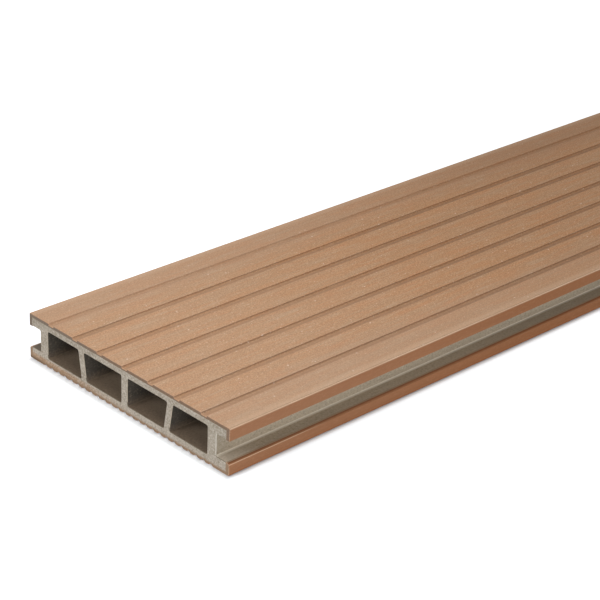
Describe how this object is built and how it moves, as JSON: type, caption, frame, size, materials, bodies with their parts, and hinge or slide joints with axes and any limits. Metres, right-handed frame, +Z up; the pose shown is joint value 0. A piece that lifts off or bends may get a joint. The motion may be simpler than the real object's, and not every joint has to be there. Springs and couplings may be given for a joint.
{
  "type": "decking board",
  "caption": "Hollow wood-plastic composite decking board with a grooved walking face, ribbed underside, inner chambers and open clip grooves along both long edges.",
  "frame": {"origin": "middle of the board's footprint, on the plane that its underside lies on", "axes": "+Y along the board's length, +X across its width, +Z up out of the walking face"},
  "size_m": [0.15, 2.2, 0.025],
  "materials": {
    "core_composite": "sawn beige-grey wood-plastic composite, mottled",
    "cap_composite": "brushed light terracotta-brown composite with fine speckle"
  },
  "bodies": {
    "root": {"core": "core_composite", "top_cap": "cap_composite", "bottom_cap": "cap_composite"}
  },
  "joints": []
}
